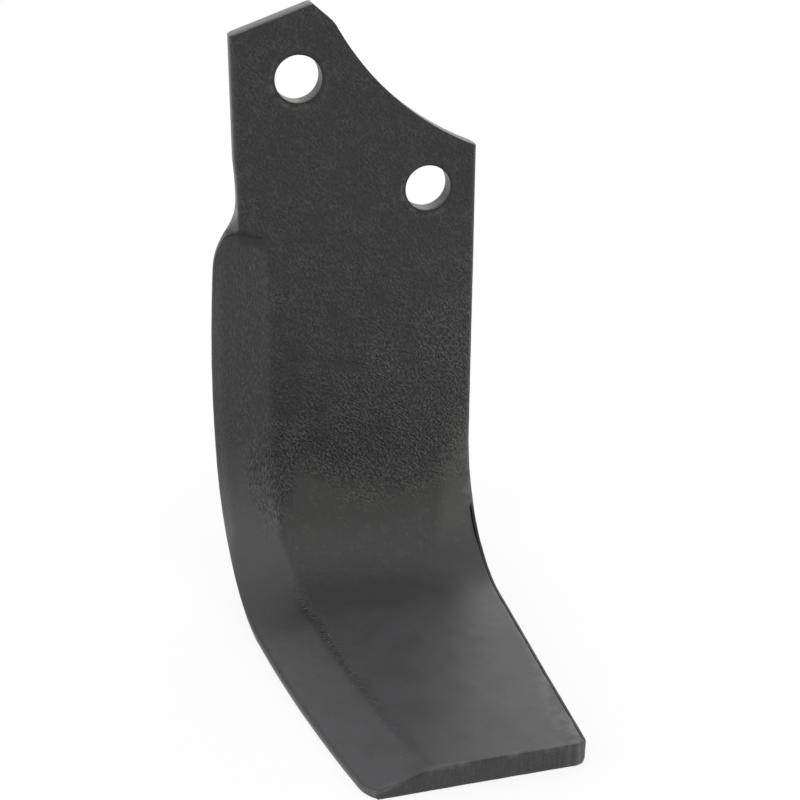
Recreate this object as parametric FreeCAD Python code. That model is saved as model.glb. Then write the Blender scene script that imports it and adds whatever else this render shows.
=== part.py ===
"""Rotary tiller blade, L pattern: one piece of flat spring-steel bar, all lengths in millimetres.

The real blade starts as a rolled flat bar with rounded edges. Its left flank is forged out into
a cutting edge, its top is sheared to clear the rotor, two bolt holes are punched through the
shank, and the lower end is bent square towards the front to make the wing. The solid is made
in that order.

Frame: X across the bar, Z up the shank, Y through the thickness. The mounting face is y = 0 and
faces +Y, the front face is y = -bar_thickness, and the wing reaches towards -Y. The origin lies
midway between the two bolt holes. A place on the blade is given as x across the bar, s down along
the front face (s = -z on the shank, then round the bend and out along the wing) and a depth
behind the front face, as on the flat blank before it was bent.
"""
import FreeCAD, Part
import os
from math import acos, asin, atan2, ceil, cos, hypot, pi, radians, sin, sqrt, tan

# Rolled bar
bar_width = 80.0
bar_thickness = 8.0
bar_edge_radius = 2.4

# Bolt holes, on a line that falls to the right
bolt_hole_diameter = 15.0
bolt_rim_radius = 0.8
bolt_line_angle = 42.0
upper_bolt_to_left_edge = 21.2
lower_bolt_to_right_edge = 16.44

# Sheared top: a slanted end, a short chamfer and an arc that clears the rotor tube
left_corner_above_upper_bolt = 14.1
top_slant_angle = 19.2
chamfer_angle = 41.0
chamfer_length = 8.6
chamfer_blend_radius = 2.5
rotor_clearance_radius = 94.0
bolt_circle_past_clearance = 19.0

# Bend and wing
bend_start_below_upper_bolt = 129.4
bend_inner_radius = 40.0
bend_angle = 90.0
wing_length = 89.9
wing_end_slant = 1.5
wing_corner_radius = 4.5

# Forged cutting edge
forged_widening = 9.8
widest_below_upper_bolt = 112.6
cutting_edge_radius = 652.0
cutting_edge_thickness = 2.4
bevel_width = 19.0
tip_radius = 12.5
tip_end_angle = 53.0

# Shoulder, where the forging starts
neck_below_upper_bolt = 39.3
neck_depth = 0.6
neck_run_radius = 160.0
neck_radius = 16.9
shoulder_radius = 23.5
step_below_upper_bolt = 49.1
step_fall_angle = 16.0
flank_lean = 30.0

# Spacing of the sections that the edge is lofted through
section_step = 8.0
shoulder_section_step = 2.0

# How far the cutters run past the bar, and the gap within which two lengths count as the same
beyond = 4.0
same = bar_thickness / 1000

steel_density = 7.85e-6

V = FreeCAD.Vector

# Places that follow from the sizes above
half_pitch_x = (bar_width - upper_bolt_to_left_edge - lower_bolt_to_right_edge) / 2
half_pitch_z = half_pitch_x * tan(radians(bolt_line_angle))
bolt_spacing = 2 * hypot(half_pitch_x, half_pitch_z)
bolt_circle_radius = rotor_clearance_radius + bolt_circle_past_clearance
left_edge = -half_pitch_x - upper_bolt_to_left_edge
right_edge = left_edge + bar_width
forged_edge = left_edge - forged_widening
bend_start = bend_start_below_upper_bolt - half_pitch_z
bend_end = bend_start + bend_inner_radius * radians(bend_angle)
blade_end = bend_end + wing_length
neck_s = neck_below_upper_bolt - half_pitch_z
widest_s = widest_below_upper_bolt - half_pitch_z
step_s = step_below_upper_bolt - half_pitch_z
top_z = half_pitch_z + left_corner_above_upper_bolt


def on_blade(x, s, depth):
    """Point of the bent blade at x across, s along the front face and depth behind it."""
    front_y = -bar_thickness
    if s <= bend_start:
        return V(x, front_y + depth, -s)
    turn = min(s - bend_start, bend_end - bend_start) / bend_inner_radius
    straight = max(s - bend_end, 0.0)
    reach = bend_inner_radius + depth
    y = front_y - bend_inner_radius + reach * cos(turn) - straight * sin(turn)
    z = -bend_start - reach * sin(turn) - straight * cos(turn)
    return V(x, y, z)


def circle_meet(x0, y0, r0, x1, y1, r1, side):
    """Crossing of two circles, on the left of the line between their centres if side is 1."""
    gap = hypot(x1 - x0, y1 - y0)
    along = (gap * gap + r0 * r0 - r1 * r1) / (2 * gap)
    off = side * sqrt(r0 * r0 - along * along)
    ux = (x1 - x0) / gap
    uy = (y1 - y0) / gap
    return x0 + along * ux - off * uy, y0 + along * uy + off * ux


# Outline of the cutting edge on the flat blank: arcs that meet tangent, in x and s
neck_x = left_edge + neck_depth
neck_cx = neck_x - neck_radius
edge_cx = forged_edge + cutting_edge_radius
shoulder_cx, shoulder_cs = circle_meet(
    neck_cx, neck_s, neck_radius + shoulder_radius,
    edge_cx, widest_s, cutting_edge_radius - shoulder_radius, 1)
neck_share = neck_radius / (neck_radius + shoulder_radius)
neck_end = neck_s + (shoulder_cs - neck_s) * neck_share
shoulder_turn = atan2(widest_s - shoulder_cs, edge_cx - shoulder_cx)
shoulder_end = shoulder_cs - shoulder_radius * sin(shoulder_turn)
tip_cs = blade_end - tip_radius * sin(radians(tip_end_angle))
tip_inset = cutting_edge_radius - tip_radius
tip_turn = asin((tip_cs - widest_s) / tip_inset)
tip_cx = edge_cx - tip_inset * cos(tip_turn)
tip_start = widest_s + cutting_edge_radius * sin(tip_turn)


def edge_x(s):
    """x of the cutting edge at s, from the neck to past the tip."""
    if s < neck_s:
        run = neck_s - s
        return neck_x - neck_run_radius + sqrt(neck_run_radius ** 2 - run * run)
    if s < neck_end:
        return neck_cx + sqrt(neck_radius ** 2 - (s - neck_s) ** 2)
    if s < shoulder_end:
        return shoulder_cx - sqrt(shoulder_radius ** 2 - (s - shoulder_cs) ** 2)
    if s < tip_start:
        return edge_cx - sqrt(cutting_edge_radius ** 2 - (s - widest_s) ** 2)
    past_end = max(s - blade_end, 0.0)
    on_arc = tip_cx - sqrt(tip_radius ** 2 - (s - past_end - tip_cs) ** 2)
    return on_arc + past_end * tan(radians(tip_end_angle))


def ridge_x(s):
    """x of the bevel's ridge: straight down to the widest point, then concentric with the edge."""
    ridge_radius = cutting_edge_radius - bevel_width
    fall = max(s - widest_s, 0.0)
    return edge_cx - sqrt(ridge_radius ** 2 - fall * fall)


def stations(first, last, step):
    """Evenly spaced places from first to last, no further apart than step."""
    count = max(int(ceil((last - first) / step)), 1)
    return [first + (last - first) * i / count for i in range(count)]


def loft_along(places, section):
    """Solid through section(s), a list of (x, depth) corners, at each place s."""
    wires = []
    for s in places:
        corners = [on_blade(x, s, depth) for x, depth in section(s)]
        wires.append(Part.makePolygon(corners + corners[:1]))
    return Part.makeLoft(wires, True, False)


def plate(points, y_from, y_to):
    """Prism of a polygon of (x, z) points, from y_from to y_to."""
    corners = [V(x, y_from, z) for x, z in points]
    face = Part.Face(Part.makePolygon(corners + corners[:1]))
    return face.extrude(V(0, y_to - y_from, 0))


def bent_strip(x_from, x_to, s_from, s_to):
    """Flat strip of full thickness that follows the shank, the bend and the wing."""
    def run(depth):
        marks = [s_from, bend_start, (bend_start + bend_end) / 2, bend_end, s_to]
        a, b, middle, c, d = [on_blade(x_from, s, depth) for s in marks]
        shank = Part.LineSegment(a, b).toShape()
        bend = Part.Arc(b, middle, c).toShape()
        wing = Part.LineSegment(c, d).toShape()
        return [shank, bend, wing], a, d
    front, front_top, front_end = run(0.0)
    back, back_top, back_end = run(bar_thickness)
    caps = [Part.LineSegment(front_top, back_top).toShape(),
            Part.LineSegment(front_end, back_end).toShape()]
    edges = Part.sortEdges(front + back + caps)[0]
    return Part.Face(Part.Wire(edges)).extrude(V(x_to - x_from, 0, 0))


def rolled_bar():
    """The bar with its four long edges rounded, bent, and still long at both ends."""
    bar = bent_strip(left_edge, right_edge, -top_z - bar_width, blade_end + beyond)
    long_edges = []
    for edge in bar.Edges:
        middle = edge.valueAt((edge.FirstParameter + edge.LastParameter) / 2)
        ends = [v.Point for v in edge.Vertexes]
        across = abs(ends[0].x - ends[1].x) > bar_width / 2
        cap = edge.Length < bar_thickness + same
        side = abs(abs(middle.x - (left_edge + right_edge) / 2) - bar_width / 2) < same
        if side and not across and not cap:
            long_edges.append(edge)
    return bar.makeFillet(bar_edge_radius, long_edges)


def edge_outside():
    """Everything outside the cutting edge and the shoulder, to be trimmed off."""
    far_x = forged_edge - 2 * beyond

    def section(s):
        x = edge_x(s)
        deep = bar_thickness + beyond
        return [(x, -beyond), (x, deep), (far_x, deep), (far_x, -beyond)]
    neck_top = neck_s - sqrt(2 * neck_run_radius * neck_depth) - shoulder_section_step
    places = stations(neck_top, neck_s, shoulder_section_step)
    places += stations(neck_s, shoulder_end + shoulder_section_step, shoulder_section_step)
    places += stations(places[-1] + shoulder_section_step, tip_start, section_step)
    places += stations(tip_start, blade_end + 2 * beyond, shoulder_section_step)
    places.append(blade_end + 2 * beyond)
    return loft_along(places, section)


def step_line(x):
    """z of the step at x: the die's edge, level outside the bar and falling towards the ridge."""
    return -step_s - max(x - left_edge, 0.0) * tan(radians(step_fall_angle))


def bevel_waste():
    """What the forging presses down between the ridge and the cutting edge, below the step."""
    slope = (bar_thickness - cutting_edge_thickness) / bevel_width

    def section(s):
        inner = ridge_x(s) + beyond
        outer = ridge_x(s) - bevel_width - 2 * beyond
        down = -beyond * slope
        deep = (bevel_width + 2 * beyond) * slope
        return [(inner, down), (outer, deep), (outer, -bar_thickness)]
    places = stations(neck_s, blade_end + beyond, section_step) + [blade_end + beyond]
    wedge = loft_along(places, section)
    left = forged_edge - bar_width / 2
    right = ridge_x(step_s) + bar_width / 2
    corners = [(x, step_line(x)) for x in (left, left_edge, right)] + [(right, top_z), (left, top_z)]
    kept = plate(corners, -2 * bar_thickness - beyond, bar_thickness)
    return wedge.cut(kept)


def shoulder_flank():
    """The flare above the step leans back from the straight front edge to the wider back."""
    lean = tan(radians(flank_lean))
    front = -bar_thickness - beyond
    front_x = neck_x + beyond * lean
    back_x = neck_x - (bar_thickness + beyond) * lean
    far_x = forged_edge - bar_width / 2
    corners = [V(front_x, front, 0), V(back_x, beyond, 0), V(far_x, beyond, 0), V(far_x, front, 0)]
    face = Part.Face(Part.makePolygon(corners + corners[:1]))
    face.translate(V(0, 0, step_line(neck_x)))
    return face.extrude(V(0, 0, -neck_s - step_line(neck_x) + beyond))


def top_waste():
    """Everything above the sheared top: slant, chamfer, blend and rotor clearance."""
    half_line = sqrt(bolt_circle_radius ** 2 - (bolt_spacing / 2) ** 2)
    rotor_x = half_line * sin(radians(bolt_line_angle))
    rotor_z = half_line * cos(radians(bolt_line_angle))
    reach = rotor_clearance_radius + chamfer_blend_radius
    slant = radians(top_slant_angle)
    down = radians(chamfer_angle)
    # The slant runs on until the blend, past the chamfer, touches the clearance circle
    to_blend_x = chamfer_length * cos(down) - chamfer_blend_radius * sin(down)
    to_blend_z = -chamfer_length * sin(down) - chamfer_blend_radius * cos(down)
    off_x = left_edge + to_blend_x - rotor_x
    off_z = top_z + to_blend_z - rotor_z
    toward = off_x * cos(slant) + off_z * sin(slant)
    run = -toward - sqrt(toward ** 2 - off_x ** 2 - off_z ** 2 + reach ** 2)
    peak_x = left_edge + run * cos(slant)
    peak_z = top_z + run * sin(slant)
    touch_x = peak_x + chamfer_length * cos(down)
    touch_z = peak_z - chamfer_length * sin(down)
    blend_x = peak_x + to_blend_x
    blend_z = peak_z + to_blend_z
    share = chamfer_blend_radius / reach
    join_x = blend_x + (rotor_x - blend_x) * share
    join_z = blend_z + (rotor_z - blend_z) * share
    mid_x = (touch_x + join_x) / 2 - blend_x
    mid_z = (touch_z + join_z) / 2 - blend_z
    grow = chamfer_blend_radius / hypot(mid_x, mid_z)
    # The clearance arc runs on past the right edge of the bar, or up to level with the rotor axis
    start = atan2(join_z - rotor_z, join_x - rotor_x) % (2 * pi)
    past_bar = min(right_edge + beyond, rotor_x + rotor_clearance_radius)
    stop = 2 * pi - acos((past_bar - rotor_x) / rotor_clearance_radius)
    half = (start + stop) / 2

    def on_clearance(angle):
        x = rotor_x + rotor_clearance_radius * cos(angle)
        return x, rotor_z + rotor_clearance_radius * sin(angle)
    low_x = left_edge - beyond
    sky = top_z + bar_width
    y = -bar_thickness - beyond

    def at(point):
        return V(point[0], y, point[1])
    start_point = at((low_x, top_z - beyond * tan(slant)))
    peak = at((peak_x, peak_z))
    touch = at((touch_x, touch_z))
    bulge = at((blend_x + mid_x * grow, blend_z + mid_z * grow))
    join = at((join_x, join_z))
    stop_point = at(on_clearance(stop))
    edges = [Part.LineSegment(start_point, peak), Part.LineSegment(peak, touch),
             Part.Arc(touch, bulge, join), Part.Arc(join, at(on_clearance(half)), stop_point),
             Part.LineSegment(stop_point, at((stop_point.x, sky))),
             Part.LineSegment(at((stop_point.x, sky)), at((low_x, sky))),
             Part.LineSegment(at((low_x, sky)), start_point)]
    wire = Part.Wire([edge.toShape() for edge in edges])
    return Part.Face(wire).extrude(V(0, bar_thickness + 2 * beyond, 0))


def wing_end_waste():
    """Everything past the cropped end of the wing, with its rounded outer corner."""
    slant = tan(radians(wing_end_slant))
    far = blade_end + 4 * beyond

    def at(x, s):
        return on_blade(x, s, -beyond)

    def end_s(x):
        return blade_end - (x - edge_x(blade_end)) * slant
    r = wing_corner_radius
    out_x = right_edge + beyond
    in_x = forged_edge - beyond
    turn = pi / 4
    corner = at(right_edge - r + r * sin(turn), end_s(right_edge - r) - r + r * cos(turn))
    flat_end = at(right_edge - r, end_s(right_edge - r))
    side_start = at(right_edge, end_s(right_edge - r) - r)
    side_out = at(out_x, end_s(right_edge - r) - r)
    edges = [Part.LineSegment(at(in_x, end_s(in_x)), flat_end),
             Part.Arc(flat_end, corner, side_start),
             Part.LineSegment(side_start, side_out),
             Part.LineSegment(side_out, at(out_x, far)),
             Part.LineSegment(at(out_x, far), at(in_x, far)),
             Part.LineSegment(at(in_x, far), at(in_x, end_s(in_x)))]
    wire = Part.Wire([edge.toShape() for edge in edges])
    through = on_blade(0, blade_end, bar_thickness + beyond) - on_blade(0, blade_end, -beyond)
    return Part.Face(wire).extrude(through)


def bolt_centres():
    """The two hole centres on the mounting face, upper left and lower right."""
    return [V(-half_pitch_x, 0, half_pitch_z), V(half_pitch_x, 0, -half_pitch_z)]


def with_bolt_holes(blade):
    """The blade with both holes punched and their rims broken."""
    radius = bolt_hole_diameter / 2
    for centre in bolt_centres():
        start = centre + V(0, -bar_thickness - beyond, 0)
        blade = blade.cut(Part.makeCylinder(radius, bar_thickness + 2 * beyond, start, V(0, 1, 0)))
    rims = []
    for edge in blade.Edges:
        curve = edge.Curve
        if isinstance(curve, Part.Circle) and abs(curve.Radius - radius) < same:
            rims.append(edge)
    return blade.makeFillet(bolt_rim_radius, rims)


def blade():
    """The finished blade as one solid."""
    forged_top = neck_s - 1.5 * shoulder_section_step
    forged = bent_strip(forged_edge - beyond, left_edge + bar_width / 2, forged_top,
                        blade_end + beyond)
    body = rolled_bar().fuse(forged).removeSplitter()
    body = body.cut(edge_outside())
    body = body.cut(bevel_waste())
    body = body.cut(shoulder_flank())
    body = body.cut(top_waste())
    body = body.cut(wing_end_waste())
    body = with_bolt_holes(body)
    return body.Solids[0] if len(body.Solids) == 1 else body


os.makedirs("parts", exist_ok=True)
shape = blade()
shape.exportStep("parts/blade.step")
box = shape.optimalBoundingBox()
print("solids", len(shape.Solids), "valid", shape.isValid(), "faces", len(shape.Faces))
print("volume cm3", round(shape.Volume / 1000, 2), "mass kg", round(shape.Volume * steel_density, 3))
print("box", [round(v, 2) for v in (box.XMin, box.YMin, box.ZMin, box.XMax, box.YMax, box.ZMax)])
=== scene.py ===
"""Rotary tiller blade: the dressed model, its black coated forged steel, and a light studio."""
import bmesh
import bpy
from math import asin, atan2, cos, exp, hypot, pi, radians, sin, sqrt, tan
from mathutils import Matrix, Vector, noise


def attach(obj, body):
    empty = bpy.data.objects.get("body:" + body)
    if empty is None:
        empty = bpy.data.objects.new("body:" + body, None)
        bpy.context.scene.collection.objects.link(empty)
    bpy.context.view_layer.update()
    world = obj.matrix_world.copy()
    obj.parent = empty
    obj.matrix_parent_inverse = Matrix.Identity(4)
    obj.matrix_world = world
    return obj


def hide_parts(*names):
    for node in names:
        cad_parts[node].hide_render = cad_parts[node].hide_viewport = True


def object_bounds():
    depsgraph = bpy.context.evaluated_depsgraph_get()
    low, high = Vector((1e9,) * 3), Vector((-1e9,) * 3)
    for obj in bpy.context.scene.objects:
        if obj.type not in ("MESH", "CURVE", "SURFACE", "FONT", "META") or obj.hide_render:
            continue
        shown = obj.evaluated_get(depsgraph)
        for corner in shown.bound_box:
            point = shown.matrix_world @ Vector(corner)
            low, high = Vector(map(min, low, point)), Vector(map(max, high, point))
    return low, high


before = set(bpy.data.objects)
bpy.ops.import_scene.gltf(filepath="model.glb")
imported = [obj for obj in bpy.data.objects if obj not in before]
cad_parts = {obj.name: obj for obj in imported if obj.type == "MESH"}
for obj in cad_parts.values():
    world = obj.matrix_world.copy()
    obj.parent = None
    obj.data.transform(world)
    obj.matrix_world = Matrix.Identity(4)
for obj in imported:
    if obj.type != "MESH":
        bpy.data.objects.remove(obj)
cad_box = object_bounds()
MM = 0.001

# Sizes of the blade in millimetres, as in the part's source
bar_width = 80.0
bar_thickness = 8.0
bar_edge_radius = 2.4
bolt_hole_diameter = 15.0
bolt_line_angle = 42.0
upper_bolt_to_left_edge = 21.2
lower_bolt_to_right_edge = 16.44
rotor_clearance_radius = 94.0
bolt_circle_past_clearance = 19.0
left_corner_above_upper_bolt = 14.1
top_slant_angle = 19.2
chamfer_angle = 41.0
chamfer_length = 8.6
chamfer_blend_radius = 2.5
bend_start_below_upper_bolt = 129.4
bend_inner_radius = 40.0
bend_angle = 90.0
wing_length = 89.9
wing_end_slant = 1.5
wing_corner_radius = 4.5
forged_widening = 9.8
widest_below_upper_bolt = 112.6
cutting_edge_radius = 652.0
cutting_edge_thickness = 2.4
bevel_width = 19.0
tip_radius = 12.5
tip_end_angle = 53.0
neck_below_upper_bolt = 39.3
neck_depth = 0.6
neck_run_radius = 160.0
neck_radius = 16.9
shoulder_radius = 23.5
step_below_upper_bolt = 49.1
step_fall_angle = 16.0
flank_lean = 30.0

# Places that follow from the sizes
half_pitch_x = (bar_width - upper_bolt_to_left_edge - lower_bolt_to_right_edge) / 2
half_pitch_z = half_pitch_x * tan(radians(bolt_line_angle))
left_edge = -half_pitch_x - upper_bolt_to_left_edge
right_edge = left_edge + bar_width
forged_edge = left_edge - forged_widening
bend_start = bend_start_below_upper_bolt - half_pitch_z
bend_end = bend_start + bend_inner_radius * radians(bend_angle)
blade_end = bend_end + wing_length
neck_s = neck_below_upper_bolt - half_pitch_z
widest_s = widest_below_upper_bolt - half_pitch_z
step_s = step_below_upper_bolt - half_pitch_z
top_z = half_pitch_z + left_corner_above_upper_bolt
bevel_slope = (bar_thickness - cutting_edge_thickness) / bevel_width


def on_blade(x, s, depth):
    """Point of the bent blade at x across, s along the front face and depth behind it."""
    front_y = -bar_thickness
    if s <= bend_start:
        return Vector((x, front_y + depth, -s))
    turn = min(s - bend_start, bend_end - bend_start) / bend_inner_radius
    straight = max(s - bend_end, 0.0)
    reach = bend_inner_radius + depth
    y = front_y - bend_inner_radius + reach * cos(turn) - straight * sin(turn)
    z = -bend_start - reach * sin(turn) - straight * cos(turn)
    return Vector((x, y, z))


def circle_meet(x0, y0, r0, x1, y1, r1):
    """Crossing of two circles, on the left of the line between their centres."""
    gap = hypot(x1 - x0, y1 - y0)
    along = (gap * gap + r0 * r0 - r1 * r1) / (2 * gap)
    off = sqrt(r0 * r0 - along * along)
    ux = (x1 - x0) / gap
    uy = (y1 - y0) / gap
    return x0 + along * ux - off * uy, y0 + along * uy + off * ux


# Cutting edge on the flat blank: neck, shoulder, long edge and tip, each tangent to the next
neck_x = left_edge + neck_depth
neck_cx = neck_x - neck_radius
edge_cx = forged_edge + cutting_edge_radius
shoulder_cx, shoulder_cs = circle_meet(
    neck_cx, neck_s, neck_radius + shoulder_radius,
    edge_cx, widest_s, cutting_edge_radius - shoulder_radius)
neck_share = neck_radius / (neck_radius + shoulder_radius)
neck_end = neck_s + (shoulder_cs - neck_s) * neck_share
shoulder_turn = atan2(widest_s - shoulder_cs, edge_cx - shoulder_cx)
shoulder_end = shoulder_cs - shoulder_radius * sin(shoulder_turn)
tip_cs = blade_end - tip_radius * sin(radians(tip_end_angle))
tip_inset = cutting_edge_radius - tip_radius
tip_turn = asin((tip_cs - widest_s) / tip_inset)
tip_cx = edge_cx - tip_inset * cos(tip_turn)
tip_start = widest_s + cutting_edge_radius * sin(tip_turn)


def edge_x(s):
    """x of the left edge at s: bar edge, neck, shoulder, cutting edge and tip."""
    if s < neck_s:
        run = min(neck_s - s, sqrt(2 * neck_run_radius * neck_depth))
        return neck_x - neck_run_radius + sqrt(neck_run_radius ** 2 - run * run)
    if s < neck_end:
        return neck_cx + sqrt(neck_radius ** 2 - (s - neck_s) ** 2)
    if s < shoulder_end:
        return shoulder_cx - sqrt(shoulder_radius ** 2 - (s - shoulder_cs) ** 2)
    if s < tip_start:
        return edge_cx - sqrt(cutting_edge_radius ** 2 - (s - widest_s) ** 2)
    past_end = max(s - blade_end, 0.0)
    on_arc = tip_cx - sqrt(tip_radius ** 2 - (s - past_end - tip_cs) ** 2)
    return on_arc + past_end * tan(radians(tip_end_angle))


def ridge_x(s):
    """x of the bevel's ridge: straight down to the widest point, then concentric with the edge."""
    ridge_radius = cutting_edge_radius - bevel_width
    fall = max(s - widest_s, 0.0)
    return edge_cx - sqrt(ridge_radius ** 2 - fall * fall)


# Sheared top: slant, chamfer, blend and the arc that clears the rotor tube
half_spacing = hypot(half_pitch_x, half_pitch_z)
bolt_circle_radius = rotor_clearance_radius + bolt_circle_past_clearance
half_line = sqrt(bolt_circle_radius ** 2 - half_spacing ** 2)
rotor_x = half_line * sin(radians(bolt_line_angle))
rotor_z = half_line * cos(radians(bolt_line_angle))
reach_to_blend = rotor_clearance_radius + chamfer_blend_radius
slant = radians(top_slant_angle)
down = radians(chamfer_angle)
to_blend_x = chamfer_length * cos(down) - chamfer_blend_radius * sin(down)
to_blend_z = -chamfer_length * sin(down) - chamfer_blend_radius * cos(down)
off_x = left_edge + to_blend_x - rotor_x
off_z = top_z + to_blend_z - rotor_z
toward = off_x * cos(slant) + off_z * sin(slant)
slant_run = -toward - sqrt(toward ** 2 - off_x ** 2 - off_z ** 2 + reach_to_blend ** 2)
peak_x = left_edge + slant_run * cos(slant)
peak_z = top_z + slant_run * sin(slant)
touch_x = peak_x + chamfer_length * cos(down)
blend_x = peak_x + to_blend_x
blend_z = peak_z + to_blend_z
join_x = blend_x + (rotor_x - blend_x) * chamfer_blend_radius / reach_to_blend


def top_s(x):
    """s of the sheared top at x."""
    if x < peak_x:
        return -top_z - (x - left_edge) * tan(slant)
    if x < touch_x:
        return -peak_z + (x - peak_x) * tan(down)
    if x < join_x:
        return -blend_z - sqrt(chamfer_blend_radius ** 2 - (x - blend_x) ** 2)
    return -rotor_z + sqrt(rotor_clearance_radius ** 2 - (x - rotor_x) ** 2)


def end_s(x):
    """s of the wing's cropped end at x, with its rounded outer corner."""
    fall = tan(radians(wing_end_slant))
    r = wing_corner_radius
    straight = blade_end - (x - edge_x(blade_end)) * fall
    into = x - (right_edge - r)
    if into <= 0:
        return straight
    corner = blade_end - (right_edge - r - edge_x(blade_end)) * fall
    return corner - r + sqrt(max(r * r - into * into, 0.0))


def ramp(value, low, high):
    """0 below low, 1 above high, smooth between."""
    t = min(max((value - low) / (high - low), 0.0), 1.0)
    return t * t * (3 - 2 * t)


def fade(value, low, high):
    """1 below low, 0 above high, smooth between."""
    return 1 - ramp(value, low, high)


def wander(point, size, seed, octaves=3):
    """Even noise of about -1 to 1, with features of the given size in millimetres."""
    p = Vector(point) / size + Vector((seed * 17.3, seed * -9.1, seed * 5.7))
    return noise.fractal(p, 1.0, 2.0, octaves, noise_basis="PERLIN_ORIGINAL")


# Forged shape of one section
step_wall_least = 1.0
step_wall_most = 4.5
step_wall_slope = 1.3
shank_ridge_blend = 0.7
wing_ridge_blend = 2.2
forged_corner = 0.9
forged_draft = 4.0
corner_change_run = 6.0
draft_run = 4.0
thin_edge_share = 2.2
flank_starts = (neck_s - 1, neck_s + 1)
flank_ends = (-0.3, 0.8)


def step_at(x):
    """s of the die's step at x: level outside the bar, falling towards the ridge."""
    return step_s + max(x - left_edge, 0.0) * tan(radians(step_fall_angle))


def wall_share(x, s):
    """0 above the sloping wall of the step, 1 below it."""
    height = bevel_slope * max(ridge_x(s) - x, 0.0)
    wall = min(step_wall_least + step_wall_slope * height, step_wall_most)
    return ramp(s - step_at(x), -0.5 * wall, 0.5 * wall)


def bevel_depth(x, s):
    """How far the forging presses the front face down at x."""
    blend = shank_ridge_blend + (wing_ridge_blend - shank_ridge_blend) * ramp(s, bend_start, bend_end)
    u = ridge_x(s) - x
    if u <= -blend:
        return 0.0
    depth = bevel_slope * (u if u >= blend else (u + blend) ** 2 / (4 * blend))
    return depth * wall_share(x, s)


def corner_radius(s):
    """Radius on the left long edge: the rolled bar's, then the forging's."""
    forged = ramp(s, neck_s - corner_change_run, step_s)
    return bar_edge_radius + (forged_corner - bar_edge_radius) * forged


# Grid of the shell: columns run round the section, rows run down the blade
bevel_columns = 18
flat_columns = 68
corner_angles = [5, 10, 14, 18, 21, 24, 27, 30, 33, 37, 43, 52, 63, 76, 90]
corner_columns = len(corner_angles)
side_columns = 4
row_step = 1.0
fine_row_step = 0.5
fine_rows_beyond = 6.0
fine_rows_from = neck_s - fine_rows_beyond
fine_rows_to = shoulder_end + fine_rows_beyond


def side_lean(s, depth):
    """How far the left side is set in: the flank above the step, the forging's draft below it."""
    edge = edge_x(s)
    front = bevel_depth(edge + corner_radius(s), s)
    leaning = neck_x - depth * tan(radians(flank_lean))
    flank = max(leaning - edge, 0.0) * fade(s - step_s, *flank_ends) * ramp(s, *flank_starts)
    draft = max(depth - front, 0.0) * tan(radians(forged_draft))
    return flank + draft * ramp(s, step_s, step_s + draft_run)


def face_xs(s, depth):
    """x of each column of a face, from the left corner's start to the right corner's start."""
    left = edge_x(s) + corner_radius(s) + side_lean(s, depth)
    ridge = ridge_x(s)
    right = right_edge - bar_edge_radius
    xs = [left + (ridge - left) * i / bevel_columns for i in range(bevel_columns)]
    return xs + [ridge + (right - ridge) * i / flat_columns for i in range(flat_columns + 1)]


def section(s):
    """(x, depth) round the section: front, right side, back, left side."""
    r = corner_radius(s)
    edge = edge_x(s)
    front = bevel_depth(edge + r, s)
    points = [(x, bevel_depth(x, s)) for x in face_xs(s, front)]
    r = bar_edge_radius
    for angle in corner_angles:
        a = radians(angle)
        points.append((right_edge - r + r * sin(a), r - r * cos(a)))
    for k in range(1, side_columns):
        points.append((right_edge, r + (bar_thickness - 2 * r) * k / side_columns))
    for angle in reversed(corner_angles):
        a = radians(angle)
        points.append((right_edge - r + r * sin(a), bar_thickness - r + r * cos(a)))
    points += [(x, bar_thickness) for x in reversed(face_xs(s, bar_thickness))]
    r = corner_radius(s)
    r_front = min(r, (bar_thickness - front) / thin_edge_share)
    for k in range(1, corner_columns + 1):
        a = pi / 2 * k / corner_columns
        depth = bar_thickness - r + r * cos(a)
        points.append((edge + r - r * sin(a) + side_lean(s, depth), depth))
    top = front + r_front
    bottom = bar_thickness - r
    for k in range(1, side_columns):
        depth = bottom + (top - bottom) * k / side_columns
        points.append((edge + side_lean(s, depth), depth))
    for k in range(corner_columns):
        a = pi / 2 * k / corner_columns
        depth = front + r_front - r_front * sin(a)
        points.append((edge + r - r * cos(a) + side_lean(s, depth), depth))
    return points


front_count = bevel_columns + flat_columns + 1
side_count = 2 * corner_columns + side_columns - 1
column_count = 2 * (front_count + side_count)


def row_places():
    """s of every row, closer together round the shoulder."""
    places = []
    s = -peak_z - row_step
    while s < blade_end + 2 * row_step:
        places.append(s)
        s += fine_row_step if fine_rows_from <= s < fine_rows_to else row_step
    return places


rows = row_places()
sections = [section(s) for s in rows]


def across_pair(column):
    """The column on the other face that has the same x."""
    first_back = front_count + side_count
    if column < front_count:
        return first_back + front_count - 1 - column
    if column < first_back:
        return front_count + first_back - 1 - column
    if column < first_back + front_count:
        return front_count - 1 - (column - first_back)
    start = first_back + front_count
    return start + column_count - 1 - column


# Hole patches: a square of cells gives way to rings that close in on the hole
patch_half = 10.0
patch_rings = 4
rim_radius = 0.9
rim_rings = 5
wall_rings = 5
hole_radius = bolt_hole_diameter / 2
hole_centres = [(-half_pitch_x, -half_pitch_z), (half_pitch_x, half_pitch_z)]


def nearest(values, wanted):
    """Index of the value nearest to the wanted one."""
    return min(range(len(values)), key=lambda i: abs(values[i] - wanted))


def patch_of(centre):
    """Column and row ranges of the square round a hole."""
    xs = face_xs(centre[1], 0.0)
    sides = [nearest(xs, centre[0] + side * patch_half) for side in (-1, 1)]
    return sides + [nearest(rows, centre[1] + side * patch_half) for side in (-1, 1)]


patches = [patch_of(centre) for centre in hole_centres]


def in_patch(column, row):
    """True for a cell, named by its lower corner, that a hole patch takes the place of."""
    if column >= front_count + side_count:
        column = 2 * front_count + side_count - 2 - column
    for c0, c1, r0, r1 in patches:
        if c0 <= column < c1 and r0 <= row < r1:
            return True
    return False


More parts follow.
